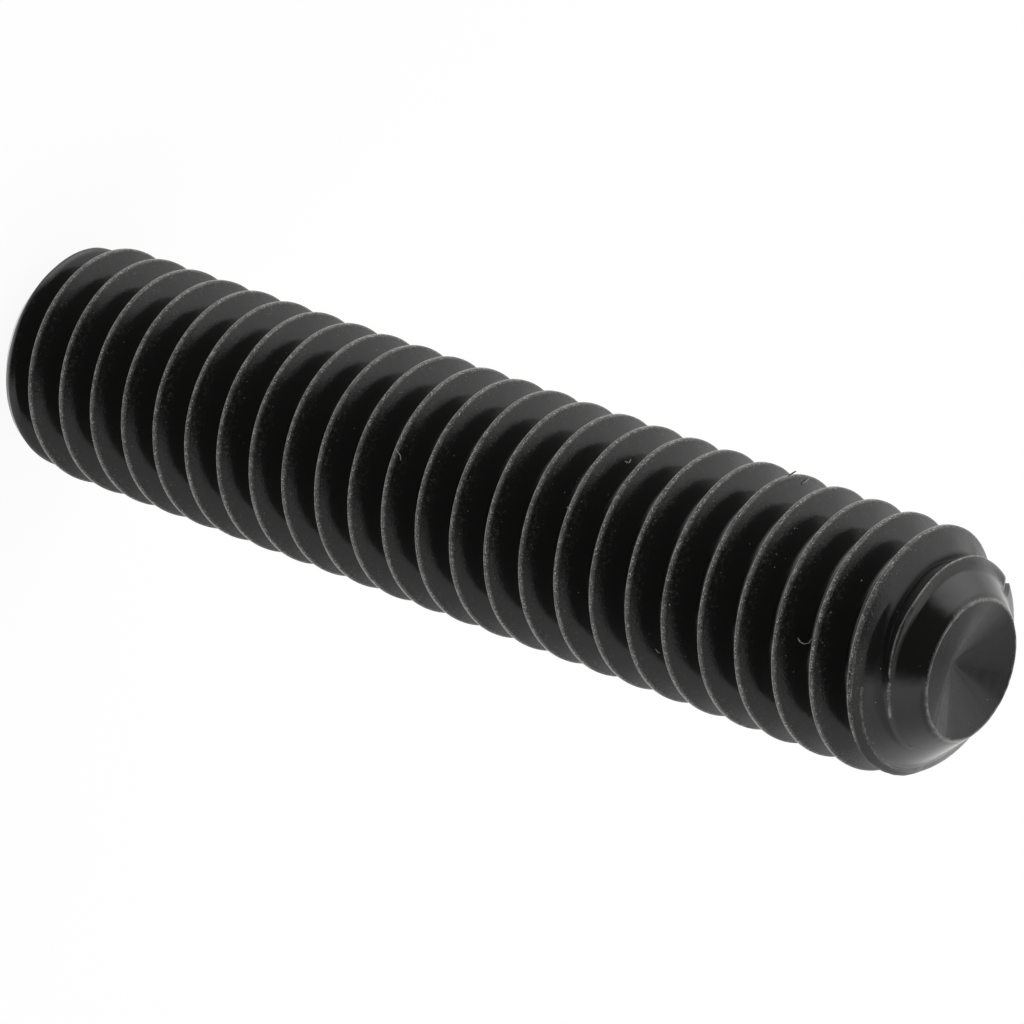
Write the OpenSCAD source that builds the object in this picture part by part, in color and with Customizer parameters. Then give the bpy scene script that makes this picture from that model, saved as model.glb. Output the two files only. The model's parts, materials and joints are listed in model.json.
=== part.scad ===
// Grub set screw: a headless screw of blackened steel, threaded from end to end, turned by a
// hexagon socket in one end and biting with a cup point at the other. It is one piece.
// It stands on its socket end at z = 0, with its axis on Z and the cup point up. Millimetres.

/* [Thread] */
// Diameter over the crests of the thread
thread_d = 7.8; // [7.4:0.05:8.2]
// Distance from one crest to the next, 18 to the inch
pitch = 1.411; // [1.3:0.001:1.6]
// Depth of the thread, from its crest to the bottom of its root
thread_h = 0.86; // [0.7:0.01:0.95]
// Width of the worn flat along the crest
crest_w = 0.18; // [0.1:0.01:0.24]
// Angle between the two flanks
flank_angle = 60; // [50:1:61]
// Angle round the axis at which the crest reaches the plane of the cup's rim
thread_start = 335; // [0:5:360]

/* [Body] */
// Length from the socket end to the cup's rim
length = 37.6; // [25:0.1:50]

/* [Socket end] */
// Width of the hexagon socket across its flats
socket_af = 3.97; // [3.5:0.01:4.3]
// Depth of the socket's flats
socket_depth = 4.4; // [3:0.1:7]
// Angle of the drilled cone at the bottom of the socket
socket_floor_angle = 118; // [100:1:140]
// Width of the small chamfer round the mouth of the socket
socket_lead = 0.12; // [0.05:0.01:0.2]
// Diameter of the flat ring that the screw stands on
end_face_d = 6; // [5.6:0.1:6.4]
// Angle of the socket end's chamfer, from the axis
end_chamfer_angle = 45; // [35:1:60]

/* [Cup point] */
// Diameter of the cup inside its rim
cup_d = 4.24; // [3.6:0.01:4.6]
// Depth of the cup below its rim
cup_depth = 0.75; // [0.4:0.05:1.4]
// Width of the flat land on the cup's rim
rim_w = 0.08; // [0.05:0.01:0.25]
// Angle of the point's cone, from the axis
point_angle = 42; // [38:1:50]

/* [Smoothness] */
// Flat faces in one turn of the thread
turn_faces = 32; // [24:2:34]

/* [Hidden] */
$fn = 128;
steel_black = [0.10, 0.10, 0.11];
crest_r = thread_d / 2;
flank_slope = tan(flank_angle / 2);
end_face_r = end_face_d / 2;
cup_r = cup_d / 2;
rim_r = cup_r + rim_w;

// The thread is rolled on a rod as thick as the middle of the thread, with the point's cone
// turned on it, so the crests are cut off low on the cone and fill out again just below it
rod_r = crest_r - thread_h / 2;
point_h = (rod_r - rim_r) / tan(point_angle);
fill_run = 0.25;

// The root is a shallow V between the flanks, which stands for its rounding
root_slope = 0.27;
root_w = (pitch - crest_w - 2 * flank_slope * thread_h) / (1 - flank_slope * root_slope);
root_dip = root_slope * root_w / 2;
flank_r = crest_r - thread_h + root_dip;

// One pitch of the thread's section, as [height above the crest's middle, radius]
section = [
    [-pitch / 2 + root_w / 2, flank_r],
    [-crest_w / 2, crest_r],
    [crest_w / 2, crest_r],
    [pitch / 2 - root_w / 2, flank_r],
    [pitch / 2, flank_r - root_dip]
];
points_in_section = len(section);
last_point = points_in_section - 1;

// The helix runs past both ends, and the blank cuts it to length
turns_past_end = 1.6;
tip_step = ceil((length / pitch + turns_past_end) * turn_faces);
last_step = tip_step + ceil(turns_past_end * turn_faces);

function crest_height(step) = length + pitch * (step - tip_step) / turn_faces;
function crest_angle(step) = thread_start + 360 * (step - tip_step) / turn_faces;
function thread_point(step, p) =
    let (a = crest_angle(step), r = section[p][1])
    [r * cos(a), r * sin(a), crest_height(step) + section[p][0]];
function at(step, p) = step * points_in_section + p;
bottom_hub = (last_step + 1) * points_in_section;
top_hub = bottom_hub + 1;
function strip(a0, a1, b0, b1) = [[a0, b0, b1], [a0, b1, a1]];

module thread_helix() {
    points = concat(
        [for (step = [0:last_step]) for (p = [0:last_point]) thread_point(step, p)],
        [[0, 0, crest_height(0) - pitch], [0, 0, crest_height(last_step) + pitch]]
    );
    along_section = [
        for (step = [0:last_step - 1]) for (p = [0:last_point - 1])
            each strip(at(step, p), at(step + 1, p), at(step, p + 1), at(step + 1, p + 1))
    ];
    turn_to_turn = [
        for (step = [0:last_step - turn_faces - 1])
            each strip(
                at(step, last_point), at(step + 1, last_point),
                at(step + turn_faces, 0), at(step + turn_faces + 1, 0)
            )
    ];
    bottom_loop = concat(
        [for (step = [0:turn_faces]) at(step, 0)],
        [for (p = [last_point:-1:0]) at(0, p)]
    );
    top_loop = concat(
        [for (step = [last_step - turn_faces:last_step]) at(step, last_point)],
        [for (p = [last_point - 1:-1:0]) at(last_step, p)],
        [at(last_step - turn_faces, last_point)]
    );
    bottom_cap = [
        for (i = [0:len(bottom_loop) - 2]) [bottom_hub, bottom_loop[i], bottom_loop[i + 1]]
    ];
    top_cap = [
        for (i = [0:len(top_loop) - 2]) [top_hub, top_loop[i + 1], top_loop[i]]
    ];
    polyhedron(points, concat(along_section, turn_to_turn, bottom_cap, top_cap));
}

// The turned outline of the blank: flat ring, chamfer, clear of the crests, point and cup
module blank() {
    clear_r = crest_r + 0.5;
    rotate_extrude()
        polygon([
            [0, 0],
            [end_face_r, 0],
            [clear_r, (clear_r - end_face_r) / tan(end_chamfer_angle)],
            [clear_r, length - point_h - fill_run * (clear_r - rod_r)],
            [rod_r, length - point_h],
            [rim_r, length],
            [cup_r, length],
            [0, length - cup_depth]
        ]);
}

// The hexagon socket with the cone that the drill left and the chamfer round its mouth
module socket() {
    below = 1;
    corner_r = socket_af / 2 / cos(30);
    drill_r = socket_af / 2;
    lead_r = corner_r + socket_lead;
    translate([0, 0, -below])
        cylinder(h = socket_depth + below, r = corner_r, $fn = 6);
    translate([0, 0, socket_depth])
        cylinder(h = drill_r / tan(socket_floor_angle / 2), r1 = drill_r, r2 = 0);
    translate([0, 0, -below])
        cylinder(h = lead_r + below, r1 = lead_r + below, r2 = 0);
}

module set_screw() {
    color(steel_black)
        difference() {
            intersection() {
                blank();
                thread_helix();
            }
            socket();
        }
}

set_screw();
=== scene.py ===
# %% [markdown]
# # A grub set screw of blackened steel
# The screw is one piece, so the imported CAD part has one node, set_screw. It already has the
# true thread, socket and cup. This script loads it as a fixed frame and dresses it: a finer
# skin with rounded edges, a worn black finish, and the dust that lies on the real one.
# Everything is in metres, and +Z runs along the screw from its socket end to its cup.

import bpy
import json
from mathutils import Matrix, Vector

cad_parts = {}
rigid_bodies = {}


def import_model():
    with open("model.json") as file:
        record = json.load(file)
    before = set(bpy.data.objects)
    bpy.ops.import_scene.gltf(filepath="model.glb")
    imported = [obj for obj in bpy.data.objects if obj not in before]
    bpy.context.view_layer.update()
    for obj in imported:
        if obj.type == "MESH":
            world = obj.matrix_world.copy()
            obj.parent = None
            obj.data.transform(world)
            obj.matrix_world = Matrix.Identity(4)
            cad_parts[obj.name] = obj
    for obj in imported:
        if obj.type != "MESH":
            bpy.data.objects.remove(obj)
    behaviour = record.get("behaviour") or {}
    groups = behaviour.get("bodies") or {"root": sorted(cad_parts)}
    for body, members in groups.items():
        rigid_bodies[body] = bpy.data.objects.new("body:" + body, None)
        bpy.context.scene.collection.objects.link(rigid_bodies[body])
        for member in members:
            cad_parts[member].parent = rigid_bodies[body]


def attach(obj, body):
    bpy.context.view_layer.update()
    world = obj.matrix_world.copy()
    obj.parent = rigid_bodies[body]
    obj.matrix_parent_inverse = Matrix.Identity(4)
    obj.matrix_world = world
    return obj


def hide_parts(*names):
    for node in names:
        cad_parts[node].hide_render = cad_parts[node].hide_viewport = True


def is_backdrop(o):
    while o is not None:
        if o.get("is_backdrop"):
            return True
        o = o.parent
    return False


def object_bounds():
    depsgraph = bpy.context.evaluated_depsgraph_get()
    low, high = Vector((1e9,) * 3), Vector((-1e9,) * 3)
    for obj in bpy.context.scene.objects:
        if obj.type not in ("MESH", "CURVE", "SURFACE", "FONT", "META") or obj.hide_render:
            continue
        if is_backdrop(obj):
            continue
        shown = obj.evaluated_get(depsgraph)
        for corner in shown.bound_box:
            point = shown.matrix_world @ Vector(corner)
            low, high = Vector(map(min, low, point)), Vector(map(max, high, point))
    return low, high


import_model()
cad_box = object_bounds()
print("CAD box in mm:", [round(1000 * v, 2) for corner in cad_box for v in corner])

# %% Modules and units
import json
import math

import bmesh
import bpy
import numpy as np
from mathutils import Matrix, Vector, noise

MM = 0.001

# %% [markdown]
# ## The screw's sizes
# A skin that stands for a CAD node needs the same sizes as the node. They are written here
# once, in millimetres, and everything below is worked out from them. The thread starts at the
# angle at which its crest reaches the plane of the tip, in degrees.

# %% Sizes of the screw, in millimetres
LENGTH = 37.6
CREST_R = 3.9
PITCH = 1.411
THREAD_H = 0.86
CREST_W = 0.18
HALF_ANGLE = math.radians(30)
FLANK_SLOPE = math.tan(HALF_ANGLE)
THREAD_START = 335
SOCKET_AF = 3.97
SOCKET_DEPTH = 4.4
SOCKET_LEAD = 0.12
ROOT_R = CREST_R - THREAD_H
print("Radius at a crest and a root:", CREST_R, ROOT_R)

# %% [markdown]
# ## The camera
# The camera comes first, because it decides how fine the skin has to be. The photograph was
# taken with a long lens from in front of the cup, looking down along the screw. A helix was
# fitted to the crests in it, which gave the camera's place beside the screw. The photograph
# shows the screw lying down, and here it stands on its socket end, so the camera is rolled:
# the photograph's upward direction is close to -X.

# %% Camera
# Its place, the directions to its right and ahead of it, and the focal length in pixels
CAMERA_MM = (-30.67, -144.399, 130.716)
CAMERA_RIGHT = Vector((-0.208928, 0.623801, 0.753141))
CAMERA_FORWARD = Vector((0.166751, 0.781583, -0.6011))
FOCAL_PX = 5910.15
IMAGE_PX = 1024
SENSOR_MM = 36.0

right = CAMERA_RIGHT.normalized()
forward = (CAMERA_FORWARD - right * CAMERA_FORWARD.dot(right)).normalized()
up = right.cross(forward)
camera_data = bpy.data.cameras.new("camera")
camera_data.sensor_width = SENSOR_MM
camera_data.lens = FOCAL_PX / IMAGE_PX * SENSOR_MM
camera_data.clip_start = 0.01
camera_data.clip_end = 10
camera = bpy.data.objects.new("camera", camera_data)
bpy.context.scene.collection.objects.link(camera)
camera.matrix_world = Matrix.Translation(Vector(CAMERA_MM) * MM) @ Matrix(
    (right, up, -forward)
).transposed().to_4x4()
bpy.context.scene.camera = camera
print("Lens in mm:", round(camera_data.lens, 1))

# %% [markdown]
# ## The section of the thread
# A cut thread has a section of straight lines, but a rolled and blackened one is a little soft
# at every corner. A smooth minimum joins two heights with a small round instead of a corner, so
# the crest, the flanks, the root and the chamfer can all be written as one formula: the radius
# of the screw at any angle and height.

# %% Smooth joins and the thread's section
# Rounding of the crest's edges, and of the corner where the chamfer of the socket end meets them
EDGE_ROUND = 0.02
CHAMFER_ROUND = 0.06
# How far below its middle the worn flat of the crest ends, on the side of the socket end
BACK_EDGE = 0.03
# Radius of the round at the bottom of the root, which touches both flanks
ROOT_ARC = 0.11


def smooth_min(a, b, width):
    t = np.clip(0.5 + 0.5 * (b - a) / width, 0, 1)
    return b + (a - b) * t - width * t * (1 - t)


def smooth_max(a, b, width):
    return -smooth_min(-a, -b, width)


def step(value, low, high):
    t = np.clip((value - low) / (high - low), 0, 1)
    return t * t * (3 - 2 * t)


def between(value, rise, fall):
    """0, then a smooth rise to 1, and further on a smooth fall back to 0."""
    return step(value, *rise) * (1 - step(value, *fall))


def crest_height(angle):
    """Height of the middle of the crest, at an angle in radians that counts whole turns."""
    return LENGTH + PITCH * (angle - math.radians(THREAD_START)) / (2 * math.pi)


def from_crest(angle, z):
    """Height above the middle of the nearest crest, which may be negative."""
    return (z - crest_height(angle) + PITCH / 2) % PITCH - PITCH / 2


def groove_radius(side):
    """Flank and rounded root, from the height above the middle of the crest."""
    side = np.where(side < 0, CREST_W / 2 - BACK_EDGE - side, side)
    flank = CREST_R - (side - CREST_W / 2) / FLANK_SLOPE
    from_root = PITCH / 2 - np.minimum(side, PITCH / 2)
    sharp_r = CREST_R - (PITCH / 2 - CREST_W / 2) / FLANK_SLOPE
    arc = sharp_r + 2 * ROOT_ARC - np.sqrt(np.maximum(ROOT_ARC**2 - from_root**2, 0))
    in_arc = from_root < ROOT_ARC * math.cos(HALF_ANGLE)
    return np.where(in_arc, arc, flank)


print("Turns of thread:", round(LENGTH / PITCH, 2))
print("Radius at the bottom of the root:", round(float(groove_radius(PITCH / 2)), 3))

# %% [markdown]
# ## The point
# The screw began as a plain rod with a cone turned on its end, about as thick as the middle of
# the thread. The rolling dies pressed the grooves in, and the steel they pushed aside rose to
# make the crests. On the cone there was less steel, so the last crest is only a low ridge that
# gets lower towards the tip and runs out. Two formulas follow this: how far the dies press in,
# and how far the steel fills them. The real radius is the smaller of the two.

# %% The cone and the last ridge
# The cone's radius at the tip, its growth with depth, and where it meets the rod. Below that
# the steel fills the dies quickly.
CONE_R = 2.2
CONE_SLOPE = 0.9
ROD_R = 3.48
ROD_EDGE = 1.42
FILL_SLOPE = 2
# Places on the ridge are named by the degrees left before its crest reaches the tip plane.
# These are the radius of its top at some of them, and a notch worn into it.
RIDGE_AT = (40, 54, 68, 79, 90, 145, 178, 203, 225, 291, 325, 345, 360)
RIDGE_R = (2.85, 3.0, 3.1, 3.17, 3.22, 3.2, 3.33, 3.52, 3.6, 3.75, 3.7, 3.8, 3.9)
NOTCH_AT = 200
NOTCH_DEPTH = 0.12
# How far the ridge's lip leans towards the tip, and the width of its rise from the cone, which
# is steep near the tip and wider further back
LIP_SHIFT = 0.11
LIP_RISE = 0.08
LIP_RISE_MORE = 0.3


def degrees_to_go(angle):
    """Degrees left, at an angle in radians, before the crest reaches the tip plane."""
    return np.degrees(math.radians(THREAD_START) - angle) % 360


def ridge_top(to_go):
    return np.interp(to_go, RIDGE_AT, RIDGE_R)


def ridge_lip(to_go, top):
    """Depth of the ridge's lip, a little nearer to the tip than the flank behind it."""
    flank_depth = PITCH * to_go / 360 + CREST_W / 2 + (CREST_R - top) * FLANK_SLOPE
    return flank_depth - LIP_SHIFT * between(to_go, (78, 112), (150, 190))


def fill_radius(angle, depth):
    """Radius that the steel reaches: the cone, with the ridge standing proud of it."""
    to_go = degrees_to_go(angle)
    notch = between(to_go, (NOTCH_AT - 3, NOTCH_AT - 1), (NOTCH_AT + 1, NOTCH_AT + 3))
    top = ridge_top(to_go) - NOTCH_DEPTH * notch
    lip_depth = ridge_lip(to_go, top)
    width = LIP_RISE + LIP_RISE_MORE * step(to_go, 105, 190)
    proud = np.maximum(0, top - CONE_R - CONE_SLOPE * lip_depth)
    proud = proud * (1 - step(to_go, 322, 356))
    cone = CONE_R + CONE_SLOPE * depth + FILL_SLOPE * np.maximum(0, depth - ROD_EDGE)
    ridge = cone + proud * step(depth, lip_depth - width, lip_depth)
    at_ridge = depth - PITCH * to_go / 360 < PITCH / 2
    return np.where(at_ridge, np.minimum(ridge, np.maximum(top, ROOT_R)), cone)


print("Radius of the ridge's top 90 degrees before the tip plane:", ridge_top(90))

# %% [markdown]
# ## The last groove and the whole radius
# The last groove is shallow near the tip: its floor slopes gently up to the ridge's lip, and
# only its other side is a full flank. At the socket end a chamfer cuts the crests off, and it
# reaches a little further out where a crest runs into it.

# %% The last groove, the dies and the radius of the screw
# Slope of the last groove's floor near the tip, how much steeper it gets further back, the
# rounding of its corner, and a radius that lies below every groove
FLOOR_SLOPE = 0.3
FLOOR_STEEPER = 0.9
CORNER_ROUND = 0.02
BELOW_ALL = 2.4
# Rounding between what the dies leave and what the steel fills
FILL_ROUND = 0.1
# The socket end: the radius of its face, the height where its chamfer gets steeper, the slope
# from there on, and how much further it reaches at some angles round the axis, in degrees
END_R = 2.84
END_LOW = 0.68
END_UPPER_SLOPE = 0.45
END_AT = (95, 120, 170, 184, 200, 216, 240, 264)
END_MORE = (0, 0.27, 0.32, 0.29, 0.21, 0.13, 0.07, 0)


def groove_floor(to_go, depth, slope):
    """Radius of the last groove's floor, which slopes up to the ridge's lip."""
    top = ridge_top(to_go)
    return top - slope * np.maximum(0, depth - ridge_lip(to_go, top))


def die_radius(angle, z):
    """Radius left by the rolling dies, which have no flank on the tip side of the ridge."""
    to_go = degrees_to_go(angle)
    offset = LENGTH - z - PITCH * to_go / 360
    side = np.where(offset < PITCH / 2, -np.maximum(offset, 0), from_crest(angle, z))
    slope = FLOOR_SLOPE + FLOOR_STEEPER * step(to_go, 120, 200)
    last_groove = between(to_go, (40, 60), (215, 260)) * (offset > 0) * (offset < PITCH)
    floor = BELOW_ALL + (groove_floor(to_go, LENGTH - z, slope) - BELOW_ALL) * last_groove
    left = smooth_max(groove_radius(side), floor, CORNER_ROUND)
    return smooth_min(left, CREST_R, EDGE_ROUND)


def screw_radius(angle, z):
    """The smallest of the radii that the dies, the steel and the chamfer allow."""
    rolled = smooth_min(die_radius(angle, z), fill_radius(angle, LENGTH - z), FILL_ROUND)
    end = np.minimum(END_R + z, END_R + END_LOW + END_UPPER_SLOPE * (z - END_LOW))
    end = end + np.interp(np.degrees(angle) % 360, END_AT, END_MORE)
    return smooth_min(rolled, end, CHAMFER_ROUND)


for degrees in (100, 174, 250, 304):
    heights = LENGTH - np.linspace(0.2, 1.4, 7)
    print(degrees, np.round(screw_radius(math.radians(degrees), heights), 2))

# %% [markdown]
# ## The threaded body
# The rows of the mesh follow the helix, so the crest is one unbroken line of edges all the way
# along. The rows lie close together at the crest, where the light catches, and wide apart on
# the flanks. Rows that run past an end are pressed onto its plane, and welding tidies them up.

# %% Grid of the threaded body
# Points in a turn, the heights of the rows over the middle of the crest as shares of the pitch,
# and the height where the rings of the point take over
AROUND = 120
ROWS = (-0.5, -0.455, -0.41, -0.33, -0.25, -0.17, -0.1, -0.06, -0.038, -0.024, -0.01, 0.02,
        0.045, 0.06, 0.075, 0.095, 0.13, 0.18, 0.25, 0.33, 0.41, 0.455)
POINT_JOIN = LENGTH - 1.9
per_turn = len(ROWS)
turns_below = math.ceil(LENGTH / PITCH) + 2
steps = np.arange(-turns_below * AROUND, 2 * AROUND + 1)
angle_of_step = 2 * math.pi * steps / AROUND
body_angle = np.repeat(angle_of_step[:, None], per_turn, 1)
body_z = crest_height(angle_of_step)[:, None] + PITCH * np.array(ROWS)[None]
body_height = np.clip(body_z, 0, POINT_JOIN)
body_radius = screw_radius(body_angle, body_height)


def body_faces():
    """Faces between the rows. The last row of a turn is joined to the first of the next turn."""
    faces = []
    count = len(steps)
    for s in range(count - 1):
        for row in range(per_turn):
            low, high = (s, row), (s, row + 1)
            if row == per_turn - 1:
                if s + AROUND + 1 >= count:
                    continue
                high = (s + AROUND, 0)
            corners = [low, (low[0] + 1, low[1]), (high[0] + 1, high[1]), high]
            heights = [body_z[c] for c in corners]
            if max(heights) <= 0 or min(heights) >= POINT_JOIN:
                continue
            faces.append([c[0] * per_turn + c[1] for c in corners])
    return faces


body_corners = body_faces()
print("Faces on the threaded body:", len(body_corners))

# %% [markdown]
# ## The point's rings
# Near the tip the ridge leaves the helix, so the point is made of closely spaced rings instead.
# They have twice as many points around, and the first one is joined to the body with five-sided
# faces. The rim is where the cone meets the cup, a nearly sharp edge that wavers a little.

# %% Rings of the point, the rim and the cup
FINE = 2 * AROUND
POINT_STEP = 0.026
# Radius of the rim's edge, the rounding of that edge, the slope of the cup inside it, and the
# height and radius of the small rise in the middle of the cup
RIM_EDGE_R = 2.175
RIM_ROUND = 0.032
CUP_SLOPE = 0.36
CUP_RISE = 0.03
CUP_RISE_R = 0.16
# Rings by their distance outside the rim's edge, and in the cup by their share of its radius
RIM_OFFSETS = (0.075, 0.05, 0.032, 0.018, 0.007, -0.004, -0.016, -0.032, -0.055, -0.09, -0.15)
CUP_SHARES = (0.88, 0.8, 0.7, 0.6, 0.5, 0.4, 0.3, 0.22, 0.15, 0.1, 0.06, 0.03)
fine_angle = 2 * math.pi * np.arange(FINE) / FINE
coarse_angle = 2 * math.pi * np.arange(AROUND) / AROUND


def wander(angle, size, seed):
    """A smooth value around zero that changes with the angle and closes on itself."""
    return np.array([noise.noise(Vector((math.cos(a) * size, math.sin(a) * size, seed)))
                     for a in angle])


def rim_height(r, edge_r):
    """Height of the cone, the rim and the cup at a radius."""
    outside = (r - edge_r) / CONE_SLOPE
    inside = (edge_r - r) * CUP_SLOPE
    return LENGTH + RIM_ROUND / 4 - smooth_max(outside, inside, RIM_ROUND)


rim_r = RIM_EDGE_R + 0.02 * wander(fine_angle, 2.5, 3.0) + 0.010 * wander(fine_angle, 9, 7.0)
point_rings = []
for depth in np.arange(LENGTH - POINT_JOIN, 0.11, -POINT_STEP):
    height = np.full(FINE, LENGTH - depth)
    point_rings.append((screw_radius(fine_angle, height), height))
for offset in RIM_OFFSETS:
    point_rings.append((rim_r + offset, np.minimum(rim_height(rim_r + offset, rim_r), LENGTH)))
for share in CUP_SHARES:
    r = (rim_r + RIM_OFFSETS[-1]) * share
    dish = rim_height(r, rim_r) + CUP_RISE * np.exp(-((r / CUP_RISE_R) ** 2))
    point_rings.append((r, dish))
cup_bottom = float(np.mean(point_rings[-1][1])) - 0.002
print("Rings at the point:", len(point_rings), "cup depth:", round(LENGTH - cup_bottom, 2))

# %% [markdown]
# ## The hexagon socket
# At the other end, rings run in from the chamfer to a hexagon. A ring becomes a hexagon when its
# radius changes with the angle, and the six corners fall exactly on points of the ring. Below
# the flats is the cone that the drill left.

# %% Rings of the socket
# Rise of the drilled cone for each millimetre inwards
DRILL_SLOPE = 0.6


def socket_profile():
    """(radius, height) of each ring, from the end face over the lead-in and down the hexagon."""
    full = np.full(AROUND, 1.0)
    sector = math.pi / 3
    across = SOCKET_AF / 2 / np.cos((coarse_angle % sector) - sector / 2)
    lead_r = SOCKET_AF / 2 / math.cos(sector / 2) + SOCKET_LEAD
    outer = screw_radius(coarse_angle, full * 0)
    rings = [(outer, full * 0), (outer * 0.97, full * 0)]
    rings += [(full * (lead_r + 0.03), full * 0), (full * lead_r, full * 0.01)]
    rings.append((across + 0.01, lead_r - across))
    rings.append((across, lead_r - across + 0.03))
    for depth in (1, 2, 3, 4, SOCKET_DEPTH - 0.05, SOCKET_DEPTH):
        rings.append((across, full * depth))
    drill_r = SOCKET_AF / 2 - 0.02
    for share in (1, 0.97, 0.7, 0.4, 0.1):
        height = SOCKET_DEPTH + drill_r * (1 - share) * DRILL_SLOPE
        rings.append((full * drill_r * share, full * height))
    return rings


socket_rings = socket_profile()
print("Rings at the socket:", len(socket_rings))

# %% [markdown]
# ## Wear and painted shade at the tip
# At the tip the crest leaves the helix, so the node group further down, which works from the
# helix, can't find its edges. The mesh is fine there, so each of its points carries two numbers
# instead: its distance from the nearest worn edge, and how deep it lies in the corner of the last
# groove, which is darkened as painted shade. The material reads them as attributes.

# %% How far each point lies from the worn edges, and where the painted shade is
# Radius and depth of a short crease on the cone, and a distance that is far from every edge
CREASE_R = 2.94
CREASE_DEPTH = 0.82
FAR = 9
# How far the painted shade reaches up the flank and over the floor from the corner of the last
# groove
SHADE_ON_FLANK = 0.12
SHADE_ON_FLOOR = 0.2


def from_tip_edges(points):
    """Millimetres to the top of the ridge, the rim, the shoulder of the cone or the crease."""
    angle = np.arctan2(points[:, 1], points[:, 0])
    r = np.hypot(points[:, 0], points[:, 1])
    depth = LENGTH - points[:, 2]
    to_go = degrees_to_go(angle)
    top = ridge_top(to_go)
    edge_r = np.interp(angle % (2 * math.pi), fine_angle, rim_r)
    ridge = np.hypot(r - top, depth - ridge_lip(to_go, top))
    shoulder = np.hypot(r - ROD_R, depth - ROD_EDGE) + 0.02
    crease = np.hypot(r - CREASE_R, depth - CREASE_DEPTH)
    nearest = np.minimum.reduce([
        ridge + FAR * ((to_go < 45) | (to_go > 322)),
        np.hypot(r - edge_r, depth),
        shoulder + FAR * ((to_go > 52) & (to_go < 340)),
        crease + FAR * ((to_go < 30) | (to_go > 54)),
    ])
    return np.minimum(nearest, FAR)


def cleft_painted_shade(points):
    """Painted shade: 1 in the corner at the bottom of the last groove, 0 away from it."""
    angle = np.arctan2(points[:, 1], points[:, 0])
    depth = LENGTH - points[:, 2]
    to_go = degrees_to_go(angle)
    offset = depth - PITCH * to_go / 360
    flank = groove_radius(from_crest(angle, points[:, 2]))
    apart = flank - groove_floor(to_go, depth, FLOOR_SLOPE)
    near = np.exp(-(np.where(apart > 0, apart / SHADE_ON_FLANK, apart / SHADE_ON_FLOOR) ** 2))
    in_groove = (offset > 0.6) * (offset < PITCH) * (np.hypot(points[:, 0], points[:, 1]) > 2.9)
    return near * between(to_go, (45, 60), (150, 200)) * in_groove


def store(mesh, name, values):
    """Gives each point of the mesh a number that a material can read by its name."""
    attribute = mesh.attributes.new(name, "FLOAT", "POINT")
    attribute.data.foreach_set("value", values)


print("Rim radius between:", round(rim_r.min(), 3), "and", round(rim_r.max(), 3))

# %% [markdown]
# ## One closed mesh
# The grid of the body, the rings of the point and the rings of the socket share a row of points
# where they meet. Welding makes each pair one point, and then no edge is open: the screw is as
# solid as its CAD node.

# %% Join the body and the ends into one mesh
# Points nearer to each other than this, in millimetres, are welded
WELD = 0.0003
vertices = []
faces = []


def add_points(angle, radius, height):
    first = len(vertices)
    for a, r, z in zip(np.ravel(angle), np.ravel(radius), np.ravel(height)):
        vertices.append((r * math.cos(a), r * math.sin(a), z))
    return first


def add_rings(angle, rings, tip_height, outward):
    """Joins each ring to the next, closes the last on the axis, and gives the first point."""
    count = len(angle)
    first = add_points(
        np.tile(angle, len(rings)),
        np.concatenate([r for r, _ in rings]),
        np.concatenate([z for _, z in rings]),
    )
    tip = add_points([0], [0], [tip_height])
    for i in range(len(rings) - 1):
        for k in range(count):
            here, there = first + i * count, first + (i + 1) * count
            face = [here + k, here + (k + 1) % count, there + (k + 1) % count, there + k]
            faces.append(face if outward else face[::-1])
    last = first + (len(rings) - 1) * count
    for k in range(count):
        face = [last + k, last + (k + 1) % count, tip]
        faces.append(face if outward else face[::-1])
    return first


add_points(body_angle, body_radius, body_height)
faces.extend(body_corners)
first_fine = add_rings(fine_angle, point_rings[1:], cup_bottom, True)
join_r, join_z = point_rings[0]
first_join = add_points(coarse_angle, join_r[::2], join_z[::2])
for k in range(AROUND):
    after = (k + 1) % AROUND
    faces.append([first_join + k, first_join + after, first_fine + 2 * after % FINE,
                  first_fine + 2 * k + 1, first_fine + 2 * k])
add_rings(coarse_angle, socket_rings, SOCKET_DEPTH + SOCKET_AF / 2 * DRILL_SLOPE, False)
print("Points:", len(vertices), "faces:", len(faces))

# %% Weld the mesh and hang it on the frame
screw_mesh = bpy.data.meshes.new("steel_screw")
screw_mesh.from_pydata([[c * MM for c in v] for v in vertices], [], faces)
points = np.array(vertices)
tip_gaps = from_tip_edges(points)
store(screw_mesh, "from_tip_edge", tip_gaps)
# Painted shade: how deep each point lies in the corner of the last groove
store(screw_mesh, "cleft_painted_shade", cleft_painted_shade(points))
print("Points beside a worn edge of the tip:", int((tip_gaps < 0.05).sum()))
screw = bpy.data.objects.new("steel_screw", screw_mesh)
bpy.context.scene.collection.objects.link(screw)

work = bmesh.new()
work.from_mesh(screw_mesh)
bmesh.ops.remove_doubles(work, verts=work.verts, dist=WELD * MM)
bmesh.ops.dissolve_degenerate(work, edges=work.edges, dist=WELD * MM)
loose = [v for v in work.verts if not v.link_faces]
bmesh.ops.delete(work, geom=loose, context="VERTS")
open_edges = [e for e in work.edges if len(e.link_faces) != 2]
triangles = sum(len(f.verts) - 2 for f in work.faces)
print("Open edges:", len(open_edges), "triangles:", triangles)
work.to_mesh(screw_mesh)
work.free()
screw_mesh.polygons.foreach_set("use_smooth", [True] * len(screw_mesh.polygons))
screw_mesh.update()
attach(screw, "root")
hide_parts("set_screw")

# %% [markdown]
# ## Node groups
# The finish needs to know where on the thread a point lies: how far it is from the middle of
# the nearest crest, and how deep it lies below the crest. Both could be painted on the mesh as
# attributes, but then they would be only as sharp as the mesh. A node group works them out from
# the object coordinates instead, with the same formula as the mesh, so a worn line a tenth of a
# millimetre wide stays crisp.

# %% Helpers for nodes
def node(tree, kind, **values):
    made = tree.nodes.new(kind)
    for key, value in values.items():
        setattr(made, key, value)
    return made


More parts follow.
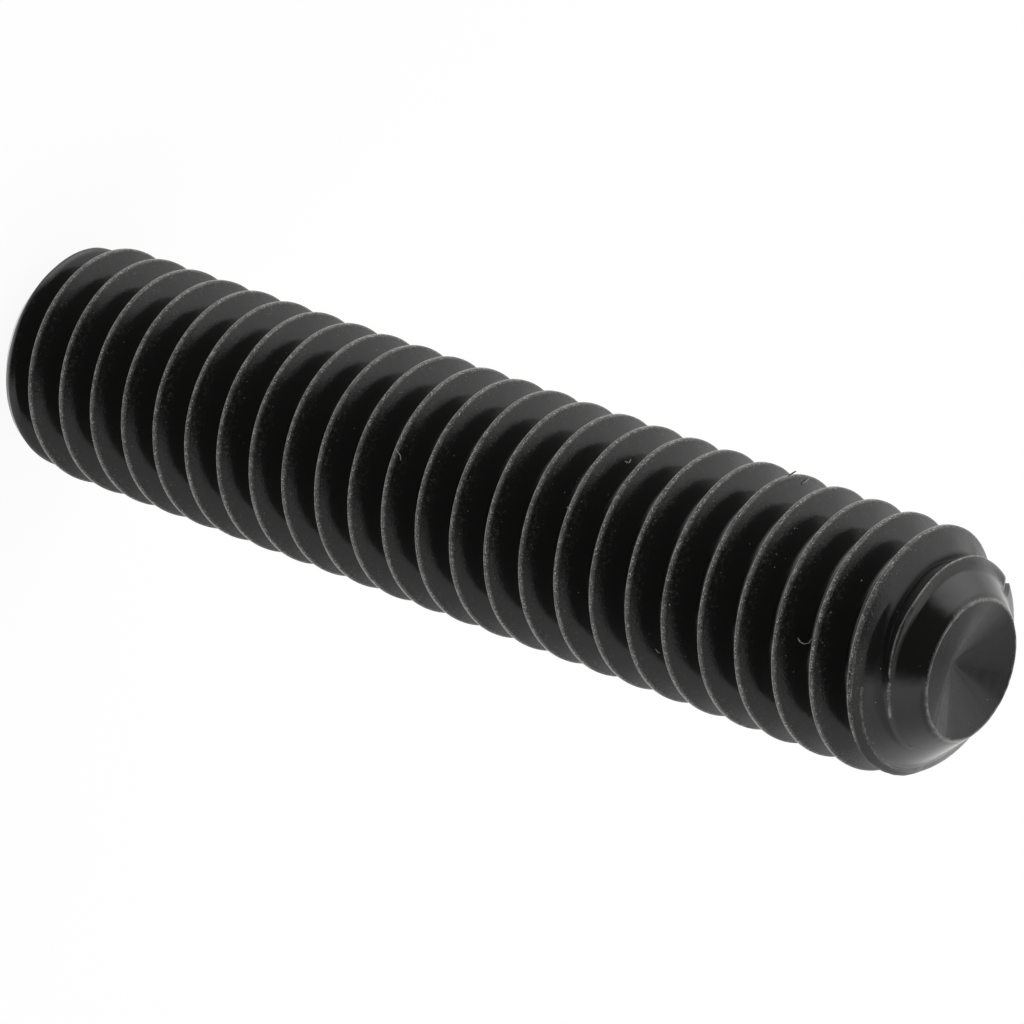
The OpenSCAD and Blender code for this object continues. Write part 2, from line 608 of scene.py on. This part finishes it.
def feed(tree, socket, value):
    """Puts a number, a colour or another node's output on a socket."""
    if isinstance(value, bpy.types.NodeSocket):
        tree.links.new(value, socket)
    elif value is not None:
        socket.default_value = value


def maths(tree, operation, a, b=None, c=None, clamp=False):
    made = node(tree, "ShaderNodeMath", operation=operation, use_clamp=clamp)
    for socket, value in zip(made.inputs, (a, b, c)):
        feed(tree, socket, value)
    return made.outputs[0]


def ramp(tree, value, low, high, to_low=0.0, to_high=1.0):
    """A smooth step from to_low at low to to_high at high."""
    made = node(tree, "ShaderNodeMapRange", interpolation_type="SMOOTHSTEP")
    for name, number in (("Value", value), ("From Min", low), ("From Max", high),
                         ("To Min", to_low), ("To Max", to_high)):
        feed(tree, made.inputs[name], number)
    return made.outputs["Result"]


def noise_of(tree, vector, scale, detail=2.0, rough=0.5):
    made = node(tree, "ShaderNodeTexNoise")
    feed(tree, made.inputs["Vector"], vector)
    feed(tree, made.inputs["Scale"], scale)
    made.inputs["Detail"].default_value = detail
    made.inputs["Roughness"].default_value = rough
    return made.outputs["Fac"]


def scaled(tree, vector, factors):
    made = node(tree, "ShaderNodeVectorMath", operation="MULTIPLY")
    feed(tree, made.inputs[0], vector)
    made.inputs[1].default_value = factors
    return made.outputs[0]


def new_group(name, inputs, outputs):
    """A group with named sockets, and the two nodes that carry them."""
    group = bpy.data.node_groups.new(name, "ShaderNodeTree")
    for label, kind, default in inputs:
        socket = group.interface.new_socket(label, in_out="INPUT", socket_type=kind)
        if default is not None:
            socket.default_value = default
    for label, kind in outputs:
        group.interface.new_socket(label, in_out="OUTPUT", socket_type=kind)
    return group, node(group, "NodeGroupInput"), node(group, "NodeGroupOutput")


def place(tree, group, **values):
    """Places a group. An underscore in a name stands for a space."""
    made = node(tree, "ShaderNodeGroup", node_tree=group)
    for label, value in values.items():
        feed(tree, made.inputs[label.replace("_", " ")], value)
    return made


def combine(tree, operation, first, *others):
    """Works one operation through several values, from the first to the last."""
    for other in others:
        first = maths(tree, operation, first, other)
    return first


FLOAT, VECTOR = "NodeSocketFloat", "NodeSocketVector"
print("Node helpers ready")

# %% Thread Map: where on the thread a point lies
thread_map, given, result = new_group(
    "Thread Map", [("Object Position", VECTOR, None)],
    [("From Crest", FLOAT), ("Depth", FLOAT), ("From Tip", FLOAT), ("Radius", FLOAT)],
)
tree = thread_map
in_mm = scaled(tree, given.outputs["Object Position"], (1000, 1000, 1000))
split = node(tree, "ShaderNodeSeparateXYZ")
feed(tree, split.inputs[0], in_mm)
x_mm, y_mm, z_mm = split.outputs
radius = maths(tree, "SQRT", maths(tree, "ADD", maths(tree, "MULTIPLY", x_mm, x_mm),
                                   maths(tree, "MULTIPLY", y_mm, y_mm)))
turn = maths(tree, "DIVIDE", maths(tree, "ARCTAN2", y_mm, x_mm), 2 * math.pi)
pitches = maths(tree, "DIVIDE", maths(tree, "SUBTRACT", z_mm, LENGTH), PITCH)
phase = maths(tree, "SUBTRACT", pitches, maths(tree, "SUBTRACT", turn, THREAD_START / 360))
wrapped = maths(tree, "WRAP", phase, 0.5, -0.5)
feed(tree, result.inputs["From Crest"], maths(tree, "MULTIPLY", wrapped, PITCH))
feed(tree, result.inputs["Depth"], maths(tree, "SUBTRACT", CREST_R, radius))
feed(tree, result.inputs["From Tip"], maths(tree, "SUBTRACT", LENGTH, z_mm))
feed(tree, result.inputs["Radius"], radius)
print("Thread Map nodes:", len(tree.nodes))

# %% [markdown]
# ## Lines, glints and patches
# Three more groups draw what lies on a surface. Worn Line draws a line of bare steel along an
# edge, ragged and broken by noise. Glints scatters small round spots, one in some of the cells
# of a Voronoi texture. Patches gives the soft pale and dark areas of dust and lint. Each gives
# a mask, and the material decides what the mask does.

# %% Worn Line: a line of wear with a broken edge
worn_line, given, result = new_group(
    "Worn Line",
    [("Object Position", VECTOR, None), ("Distance", FLOAT, 0.0), ("Width", FLOAT, 0.05),
     ("Ragged", FLOAT, 0.02), ("Breaks", FLOAT, 0.4), ("Amount", FLOAT, 1.0)],
    [("Mask", FLOAT)],
)
tree = worn_line
where = given.outputs["Object Position"]
grain = noise_of(tree, where, 14000, 3, 0.6)
shift = maths(tree, "MULTIPLY", maths(tree, "SUBTRACT", grain, 0.5), given.outputs["Ragged"])
distance = maths(tree, "ADD", given.outputs["Distance"], shift)
edge = maths(tree, "MULTIPLY", given.outputs["Width"], 0.3)
inside = ramp(tree, distance, given.outputs["Width"], edge)
chips = ramp(tree, noise_of(tree, where, 3500, 5, 0.7), 0.40, 0.62)
kept = maths(tree, "SUBTRACT", 1, maths(tree, "MULTIPLY", chips, given.outputs["Breaks"]))
mask = maths(tree, "MULTIPLY", maths(tree, "MULTIPLY", inside, kept), given.outputs["Amount"],
             clamp=True)
feed(tree, result.inputs["Mask"], mask)
print("Worn Line nodes:", len(tree.nodes))

# %% Glints: tiny bright specks where grit has scratched through
glints, given, result = new_group(
    "Glints",
    [("Object Position", VECTOR, None), ("Scale", FLOAT, 6000.0), ("Share", FLOAT, 0.1),
     ("Size", FLOAT, 0.4)],
    [("Mask", FLOAT)],
)
tree = glints
cells = node(tree, "ShaderNodeTexVoronoi")
feed(tree, cells.inputs["Vector"], given.outputs["Object Position"])
feed(tree, cells.inputs["Scale"], given.outputs["Scale"])
channels = node(tree, "ShaderNodeSeparateColor")
feed(tree, channels.inputs[0], cells.outputs["Color"])
chosen = maths(tree, "LESS_THAN", channels.outputs["Red"], given.outputs["Share"])
core = maths(tree, "MULTIPLY", given.outputs["Size"], 0.4)
dots = ramp(tree, cells.outputs["Distance"], given.outputs["Size"], core)
feed(tree, result.inputs["Mask"], maths(tree, "MULTIPLY", chosen, dots))
print("Glints nodes:", len(tree.nodes))

# %% Patches: soft pale and dark areas
patches, given, result = new_group(
    "Patches", [("Object Position", VECTOR, None), ("Scale", FLOAT, 20000.0)], [("Mask", FLOAT)],
)
tree = patches
cloudy = noise_of(tree, given.outputs["Object Position"], given.outputs["Scale"], 3, 0.6)
feed(tree, result.inputs["Mask"], ramp(tree, cloudy, 0.3, 0.7))
print("Patches nodes:", len(tree.nodes))

# %% [markdown]
# ## Black oxide
# The steel is blackened by a bath that leaves a thin, glossy, almost black skin. It is worn off
# along the crests, in a line about a tenth of a millimetre wide that breaks and thickens, and
# bare steel shows through. Beside the crests the skin is scuffed, and everywhere it is a little
# wavy from the rolling, which makes the edges of the reflections wander. So the material is one
# Principled BSDF: the masks move its colour, metalness and roughness from skin to steel, and
# two sizes of bump break up the reflections.

# %% Black oxide: where it is worn
steel = bpy.data.materials.new("black_oxide")
steel.use_nodes = True
tree = steel.node_tree
on_screw = node(tree, "ShaderNodeTexCoord").outputs["Object"]
spot = place(tree, thread_map, Object_Position=on_screw)
tip_edge = node(tree, "ShaderNodeAttribute", attribute_name="from_tip_edge").outputs["Fac"]
across = spot.outputs["From Crest"]
near_crest = ramp(tree, spot.outputs["Depth"], 0.16, 0.06)


def from_level(level):
    """Millimetres from the line along the thread that lies this far over the crest's middle."""
    return maths(tree, "ABSOLUTE", maths(tree, "SUBTRACT", across, level))


def line(distance, width, ragged, breaks, amount):
    made = place(tree, worn_line, Object_Position=on_screw, Distance=distance, Width=width,
                 Ragged=ragged, Breaks=breaks, Amount=amount)
    return made.outputs["Mask"]


def spots(scale, share, size):
    made = place(tree, glints, Object_Position=on_screw, Scale=scale, Share=share, Size=size)
    return made.outputs["Mask"]


# The worn flat has a line on its front edge, one on its back edge and a fainter one between
on_flat = from_level((CREST_W / 2 - BACK_EDGE) / 2)
crest_wear = combine(
    tree, "MAXIMUM",
    line(from_level(CREST_W / 2), 0.05, 0.03, 0.7, 0.42),
    line(from_level(0.01 - BACK_EDGE), 0.045, 0.03, 0.5, 0.9),
    line(on_flat, 0.06, 0.04, 0.8, 0.3),
)
crest_wear = maths(tree, "MULTIPLY", crest_wear, near_crest)
tip_wear = line(tip_edge, 0.07, 0.06, 0.7, 0.9)
lines = maths(tree, "MULTIPLY", maths(tree, "MAXIMUM", crest_wear, tip_wear), 0.62)
on_edge = maths(
    tree, "MAXIMUM",
    maths(tree, "MULTIPLY", ramp(tree, on_flat, 0.12, 0.06), near_crest),
    ramp(tree, tip_edge, 0.11, 0.04, 0.0, 0.5),
)
sparkle = maths(tree, "MULTIPLY", spots(19000, 0.4, 0.55), on_edge)
# The scuffed band beside the crest stays off the cone and out of the socket
beside = combine(
    tree, "MULTIPLY",
    ramp(tree, across, 0.42, 0.12),
    ramp(tree, across, 0.04, 0.08),
    ramp(tree, spot.outputs["From Tip"], 0.9, 1.3),
    ramp(tree, spot.outputs["Depth"], 1.4, 1.2),
)
scuff = maths(tree, "MULTIPLY", beside,
              ramp(tree, noise_of(tree, on_screw, 7000, 4, 0.7), 0.48, 0.68))
glint = maths(tree, "MULTIPLY", spots(9000, 0.1, 0.36),
              maths(tree, "MAXIMUM", beside, near_crest))
worn = combine(
    tree, "MAXIMUM", lines, sparkle,
    maths(tree, "MULTIPLY", glint, 0.26),
    maths(tree, "MULTIPLY", spots(2600, 0.05, 0.09), 0.3),
    maths(tree, "MULTIPLY", scuff, 0.07),
)
print("Nodes that find the wear:", len(tree.nodes))

# %% Black oxide: colour and gloss
OXIDE = (0.0086, 0.0086, 0.0081, 1)
BARE_STEEL = (0.4, 0.393, 0.375, 1)
CUP_R = 2.12
shader = tree.nodes["Principled BSDF"]
colour = node(tree, "ShaderNodeMix", data_type="RGBA")
feed(tree, colour.inputs["Factor"], worn)
colour.inputs["A"].default_value = OXIDE
colour.inputs["B"].default_value = BARE_STEEL
tree.links.new(colour.outputs["Result"], shader.inputs["Base Color"])
feed(tree, shader.inputs["Metallic"], maths(tree, "MULTIPLY", worn, 0.85))

# The skin is a little duller where it is mottled, scuffed, in the cup or in painted shade
mottle = noise_of(tree, scaled(tree, on_screw, (1, 1, 12)), 900, 5, 0.65)
dulled = maths(tree, "MAXIMUM", worn, maths(tree, "MULTIPLY", scuff, 0.6))
in_cup = maths(tree, "MULTIPLY", maths(tree, "LESS_THAN", spot.outputs["Radius"], CUP_R),
               maths(tree, "LESS_THAN", spot.outputs["From Tip"], 1.0))
painted_corner_shade = node(tree, "ShaderNodeAttribute", attribute_name="cleft_painted_shade").outputs["Fac"]
rough = combine(
    tree, "ADD",
    ramp(tree, mottle, 0.35, 0.65, 0.10, 0.17),
    maths(tree, "MULTIPLY", dulled, 0.3),
    maths(tree, "MULTIPLY", in_cup, 0.12),
    maths(tree, "MULTIPLY", painted_corner_shade, 0.25),
)
feed(tree, shader.inputs["Roughness"], rough)
# Painted shade: the corner of the last groove reflects less, so it looks darker
feed(tree, shader.inputs["Specular IOR Level"],
     maths(tree, "SUBTRACT", 0.5, maths(tree, "MULTIPLY", painted_corner_shade, 0.42)))
print("Nodes with colour and gloss:", len(tree.nodes))

# %% Black oxide: waves and grit
WAVES_MM = 0.008
GRIT_MM = 0.01


def bump_of(height, depth_mm):
    made = node(tree, "ShaderNodeBump")
    made.inputs["Distance"].default_value = depth_mm * MM
    feed(tree, made.inputs["Height"], height)
    return made


waves_bump = bump_of(noise_of(tree, on_screw, 1500, 2, 0.5), WAVES_MM)
grit = noise_of(tree, scaled(tree, on_screw, (1, 1, 1.5)), 14000, 3, 0.65)
grit_amount = maths(tree, "ADD", 0.12, maths(
    tree, "ADD", maths(tree, "MULTIPLY", beside, 0.9), maths(tree, "MULTIPLY", on_edge, 0.9)))
grit_bump = bump_of(maths(tree, "MULTIPLY", grit, grit_amount), GRIT_MM)
feed(tree, grit_bump.inputs["Normal"], waves_bump.outputs["Normal"])
feed(tree, shader.inputs["Normal"], grit_bump.outputs["Normal"])
screw_mesh.materials.append(steel)
print("Black oxide nodes:", len(tree.nodes))

# %% [markdown]
# ## Dust
# The photograph is close enough to show dust on the black steel: pale specks, a few curled
# fibres, and one dark hair that stands up from a crest. They could be dots in the material,
# but then they would lie flat and catch no light of their own. Here they are small solids. The
# larger ones lie where the photograph shows them: a ray from the camera through that place
# finds the point on the thread that carries each. Finer specks are strewn over all sides.

# %% Where a ray lands on the screw
from mathutils.bvhtree import BVHTree

work = bmesh.new()
work.from_mesh(screw_mesh)
skin = BVHTree.FromBMesh(work)
work.free()


def seen_at(x, y):
    """The point and normal of the screw behind a place in the photograph, in its pixels."""
    aim = (forward + right * ((x + 0.5 - IMAGE_PX / 2) / FOCAL_PX)
           - up * ((y + 0.5 - IMAGE_PX / 2) / FOCAL_PX))
    point, normal, _, _ = skin.ray_cast(Vector(CAMERA_MM) * MM, aim.normalized())
    return point, normal


print("Below the middle of the picture:", [round(v * 1000, 1) for v in seen_at(600, 520)[0]])

# %% Specks of dust
# Column, row and width of each speck in the photograph, in its pixels
SPECKS = (
    (830, 612, 1.6), (828, 602, 0.9), (822, 642, 1.0), (820, 689, 0.9), (849, 734, 1.0),
    (785, 558, 0.8), (776, 554, 0.8), (774, 567, 0.9), (861, 580, 1.2), (876, 586, 1.2),
    (794, 528, 0.9), (797, 528, 0.7), (791, 533, 0.8), (869, 538, 0.9), (880, 668, 1.1),
    (987, 699, 0.9), (968, 723, 0.8), (971, 725, 0.9), (626, 463, 1.1), (578, 478, 0.9),
    (576, 481, 0.8), (564, 492, 0.9), (581, 501, 0.9), (567, 507, 1.5), (571, 506, 1.0),
    (634, 546, 1.1), (785, 655, 0.8), (875, 702, 0.9), (717, 489, 0.9), (723, 549, 1.0),
    (725, 535, 0.9), (161, 406, 0.9), (578, 592, 1.0), (669, 604, 1.3), (677, 593, 0.8),
    (896, 557, 1.0), (901, 554, 1.1), (883, 567, 0.9), (943, 652, 1.2), (946, 655, 1.0),
)
# Size of one pixel on the screw, and how many finer specks are strewn over it
PIXEL_MM = 0.031
STREWN = 260
# The shape of a chip, as shares of its size, and how far its middle lies over the steel
CHIP_SHAPE = Vector((1.25, 0.85, 0.55))
CHIP_LIFT = Vector((0, 0, 0.25))
rng = np.random.default_rng(11)


def speck_shape(mesh, point, normal, size_mm, seed):
    """Adds one chip: a ball pushed out of shape, flattened, and sunk a little into the skin."""
    chip = bmesh.ops.create_icosphere(mesh, subdivisions=1, radius=1)["verts"]
    turn = normal.to_track_quat("Z", "Y")
    for vert in chip:
        bump = 1 + 0.9 * noise.noise(vert.co * 1.3 + Vector((seed, 0, 0)))
        shaped = Vector([c * k * bump for c, k in zip(vert.co, CHIP_SHAPE)]) + CHIP_LIFT
        vert.co = point + turn @ (shaped * size_mm * MM)


def one_object(name, work, material):
    mesh = bpy.data.meshes.new(name)
    work.to_mesh(mesh)
    work.free()
    mesh.polygons.foreach_set("use_smooth", [True] * len(mesh.polygons))
    mesh.materials.append(material)
    piece = bpy.data.objects.new(name, mesh)
    bpy.context.scene.collection.objects.link(piece)
    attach(piece, "root")
    print(name, "has", len(mesh.polygons), "faces")


def dusty(name, dark, light, rough):
    """A dull, patchy material for dust, lint and hair."""
    made = bpy.data.materials.new(name)
    made.use_nodes = True
    tree = made.node_tree
    where = node(tree, "ShaderNodeTexCoord").outputs["Object"]
    mix = node(tree, "ShaderNodeMix", data_type="RGBA")
    patchy = place(tree, patches, Object_Position=where, Scale=20000)
    feed(tree, mix.inputs["Factor"], patchy.outputs["Mask"])
    mix.inputs["A"].default_value = (*dark, 1)
    mix.inputs["B"].default_value = (*light, 1)
    principled = tree.nodes["Principled BSDF"]
    tree.links.new(mix.outputs["Result"], principled.inputs["Base Color"])
    principled.inputs["Roughness"].default_value = rough
    return made


work = bmesh.new()
for number, (x, y, size) in enumerate(SPECKS):
    point, normal = seen_at(x, y)
    if point is not None:
        speck_shape(work, point, normal, size * PIXEL_MM * 0.6, number)
strewn = 0
while strewn < STREWN:
    angle = rng.uniform(0, 2 * math.pi)
    height = rng.uniform(0.4, LENGTH - 0.3)
    outward = Vector((math.cos(angle), math.sin(angle), 0))
    start = (outward * 6 + Vector((0, 0, height + rng.uniform(-0.5, 0.5)))) * MM
    point, normal, _, _ = skin.ray_cast(start, -outward)
    if point is None or not 0.3 * MM < point.z < (LENGTH - 0.2) * MM:
        continue
    speck_shape(work, point, normal, PIXEL_MM * rng.uniform(0.22, 0.5), 100 + strewn)
    strewn += 1
pale_dust = dusty("pale_dust", (0.12, 0.11, 0.09), (0.42, 0.39, 0.32), 0.85)
one_object("dust_specks", work, pale_dust)

# %% [markdown]
# ## Lint and hair
# A fibre is a thin tube with closed ends. A curve with a bevel would do as well, but a tube from
# rings of points can be tapered and stays one closed mesh. Each fibre passes over the places
# where the photograph shows it and arches a little off the steel between its two ends. The hair
# stands on a crest and leans away from it in the plane of the picture.

# %% Lint and hair
# Places that each fibre passes over, as column and row in the photograph, in its pixels
FIBRES = (
    ((797, 637), (799, 641), (803, 643), (808, 642), (812, 638)),
    ((801, 484), (804, 481), (808, 478)),
    ((523, 607), (525, 611), (529, 612)),
    ((655, 648), (657, 651), (660, 651)),
    ((624, 461), (627, 463), (630, 459)),
    ((396, 449), (399, 455), (400, 460)),
)
FIBRE_R = 0.014
FIBRE_LIFT = 0.05
FIBRE_STEPS = 4
TUBE_SIDES = 6
# Where the hair stands, how far it leans to the right and upwards, its length and its radius
HAIR_AT = (788, 475)
HAIR_LEANS = (0.86, 0.5)
HAIR_MM = 0.27
HAIR_R = 0.022


def tube(work, points, radius_mm):
    """Adds a thin closed tube that follows the points and tapers at both ends."""
    ways = [(b - a).normalized() for a, b in zip(points, points[1:])]
    between_ways = [(a + b).normalized() for a, b in zip(ways, ways[1:])]
    ways = [ways[0]] + between_ways + [ways[-1]]
    rings = []
    side = ways[0].orthogonal().normalized()
    for i, (point, way) in enumerate(zip(points, ways)):
        if i > 0:
            side = (side - way * side.dot(way)).normalized()
        other = way.cross(side)
        taper = 0.6 if i in (0, len(points) - 1) else 1.0
        ring = []
        for t in np.linspace(0, 2 * math.pi, TUBE_SIDES, endpoint=False):
            outward = side * math.cos(t) + other * math.sin(t)
            ring.append(work.verts.new(point + outward * radius_mm * taper * MM))
        rings.append(ring)
    for low, high in zip(rings, rings[1:]):
        for k in range(TUBE_SIDES):
            after = (k + 1) % TUBE_SIDES
            work.faces.new((low[k], low[after], high[after], high[k]))
    work.faces.new(rings[0][::-1])
    work.faces.new(rings[-1])


def fibre(work, places, radius_mm, lift_mm):
    """A fibre that rests on the steel at both ends and arches a little between them."""
    ends = [seen_at(x, y) for x, y in places]
    spans = len(places) - 1
    points = []
    for i in range(FIBRE_STEPS * spans + 1):
        k = min(i // FIBRE_STEPS, spans - 1)
        t = i / FIBRE_STEPS - k
        share = i / (FIBRE_STEPS * spans)
        spot = ends[k][0].lerp(ends[k + 1][0], t)
        out = ends[k][1].lerp(ends[k + 1][1], t).normalized()
        points.append(spot + out * (radius_mm + lift_mm * math.sin(math.pi * share)) * MM)
    tube(work, points, radius_mm)


work = bmesh.new()
for places in FIBRES:
    fibre(work, places, FIBRE_R, FIBRE_LIFT)
pale_lint = dusty("pale_lint", (0.25, 0.24, 0.21), (0.5, 0.48, 0.43), 0.7)
one_object("lint_fibres", work, pale_lint)
work = bmesh.new()
foot, _ = seen_at(*HAIR_AT)
lean = (right * HAIR_LEANS[0] + up * HAIR_LEANS[1]) * HAIR_MM * MM
tube(work, [foot + lean * share for share in (-0.1, 0.4, 0.8, 1)], HAIR_R)
hair_finish = dusty("dark_hair", (0.01, 0.01, 0.012), (0.03, 0.03, 0.035), 0.5)
one_object("dark_hair", work, hair_finish)

# %% [markdown]
# ## The studio
# A shiny black part shows mostly what surrounds it. The photograph was taken on a white table
# in a white tent with its opening towards the camera: where a flank mirrors the tent it looks
# grey, and where it mirrors the opening or its neighbour it is black. The world is that tent,
# drawn with a dark window in it.

# %% World: directions round the screw
# The screw lay on a table, so the table's upward direction is sideways on the standing screw
TABLE_UP = Vector((-0.948, -0.317, 0)).normalized()
ALONG = Vector((0, 0, 1))
TO_CAMERA = Vector((0.317, -0.948, 0)).normalized()
WHITE = (1, 1, 1, 1)


def towards(azimuth, elevation):
    """A direction: azimuth from the screw's axis to the camera's side, elevation off the table."""
    a, e = math.radians(azimuth), math.radians(elevation)
    level = ALONG * math.cos(a) + TO_CAMERA * math.sin(a)
    return level * math.cos(e) + TABLE_UP * math.sin(e)


world = bpy.data.worlds.new("light_tent")
bpy.context.scene.world = world
world.use_nodes = True
tree = world.node_tree
background = tree.nodes["Background"]
background.inputs["Color"].default_value = WHITE
direction = node(tree, "ShaderNodeTexCoord").outputs["Generated"]


def along(axis):
    """How far the direction of a ray goes along an axis."""
    made = node(tree, "ShaderNodeVectorMath", operation="DOT_PRODUCT")
    feed(tree, made.inputs[0], direction)
    made.inputs[1].default_value = axis
    return made.outputs["Value"]


def lobe(azimuth, elevation, outer, inner):
    """A soft round spot on the tent, from 0 at the outer angle to 1 at the inner one."""
    return ramp(tree, along(towards(azimuth, elevation)), math.cos(math.radians(outer)),
                math.cos(math.radians(inner)))


print("The camera's side of the screw:", [round(v, 2) for v in towards(90, 0)])

# %% World: the dark opening
# The opening is a window with soft edges, measured on a plane in front of the screw
window = towards(42, 25)
window_side = towards(132, 0)
window_up = window_side.cross(window).normalized()
if window_up.dot(TABLE_UP) < 0:
    window_up = -window_up
ahead = along(window)
sideways = maths(tree, "DIVIDE", along(window_side), ahead)
upward = maths(tree, "DIVIDE", along(window_up), ahead)
left_and_right = maths(tree, "MULTIPLY", ramp(tree, sideways, -1.38, -1.03),
                       ramp(tree, sideways, 1.8, 1.0))
below_and_above = maths(tree, "MULTIPLY", ramp(tree, upward, -0.95, -0.5),
                        ramp(tree, upward, 1.05, 0.6))
opening = combine(tree, "MULTIPLY", left_and_right, below_and_above, ramp(tree, ahead, 0, 0.05))
# It goes on round the camera's side, and a small dark spot lies low beyond the cup
opening = combine(tree, "MAXIMUM", opening, lobe(132, 15, 42, 22), lobe(100, 20, 42, 28))
opening = maths(tree, "MULTIPLY", opening, 0.94)
opening = maths(tree, "MAXIMUM", opening, maths(tree, "MULTIPLY", lobe(-14, -5, 12, 6), 0.7))
print("World nodes with the opening:", len(tree.nodes))

# %% World: the tent and its lights
# The tent glows evenly, apart from three shaded places, a large softbox and a small light
TENT = 1.05
shaded = combine(
    tree, "ADD",
    maths(tree, "MULTIPLY", lobe(0, -38, 40, 15), 0.4),
    maths(tree, "MULTIPLY", lobe(-90, -31, 26, 12), 0.75),
    maths(tree, "MULTIPLY", lobe(-62, -3, 12, 4), 0.35),
)
lights = maths(tree, "ADD", maths(tree, "MULTIPLY", lobe(-100, 62, 50, 12), 1.6),
               maths(tree, "MULTIPLY", lobe(-74, -12, 8, 3), 0.3))
bright = maths(tree, "ADD", maths(tree, "SUBTRACT", TENT, shaded), lights)
not_opening = maths(tree, "SUBTRACT", 1, opening)
feed(tree, background.inputs["Strength"], maths(tree, "MULTIPLY", bright, not_opening))
print("World nodes:", len(tree.nodes))

# %% [markdown]
# ## The floor
# The screw stands on a sheet of white paper. Where the camera or a reflection sees the paper
# directly it is almost pure white, as in the photograph, and that comes from a little glow that
# only those rays see. The rest is plain paper, so the screw keeps its faint shadow.

# %% Floor
FLOOR_SIZE = 4
GLOW = 1.05
GLOW_SHARE = 0.88
PAPER = (0.94, 0.94, 0.94, 1)

paper = bpy.data.materials.new("white_paper")
paper.use_nodes = True
tree = paper.node_tree
shader = tree.nodes["Principled BSDF"]
shader.inputs["Base Color"].default_value = PAPER
shader.inputs["Roughness"].default_value = 0.9
shader.inputs["Specular IOR Level"].default_value = 0.0
seen = node(tree, "ShaderNodeLightPath")
straight = combine(
    tree, "MAXIMUM", seen.outputs["Is Camera Ray"], seen.outputs["Is Glossy Ray"],
    seen.outputs["Is Transmission Ray"],
)
glow = node(tree, "ShaderNodeEmission")
glow.inputs["Color"].default_value = WHITE
glow.inputs["Strength"].default_value = GLOW
mix = node(tree, "ShaderNodeMixShader")
feed(tree, mix.inputs[0], maths(tree, "MULTIPLY", straight, GLOW_SHARE))
tree.links.new(shader.outputs[0], mix.inputs[1])
tree.links.new(glow.outputs[0], mix.inputs[2])
tree.links.new(mix.outputs[0], tree.nodes["Material Output"].inputs["Surface"])

half = FLOOR_SIZE / 2
floor_mesh = bpy.data.meshes.new("floor")
floor_mesh.from_pydata([(-half, -half, 0), (half, -half, 0), (half, half, 0), (-half, half, 0)],
                       [], [(0, 1, 2, 3)])
floor_mesh.materials.append(paper)
floor = bpy.data.objects.new("floor", floor_mesh)
bpy.context.scene.collection.objects.link(floor)
floor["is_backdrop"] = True
print("Floor in metres:", FLOOR_SIZE)

# %% [markdown]
# ## Colours as they are, and the boxes
# The Standard view shows a colour as it is written. The two boxes, of the CAD part and of the
# dressed one, are put side by side in one dictionary: only the hair stands a little proud of the
# CAD part.

# %% Finish
scene = bpy.context.scene
scene.view_settings.view_transform = "Standard"

size = {"cad": [list(c) for c in cad_box], "visual": [list(c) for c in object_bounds()]}
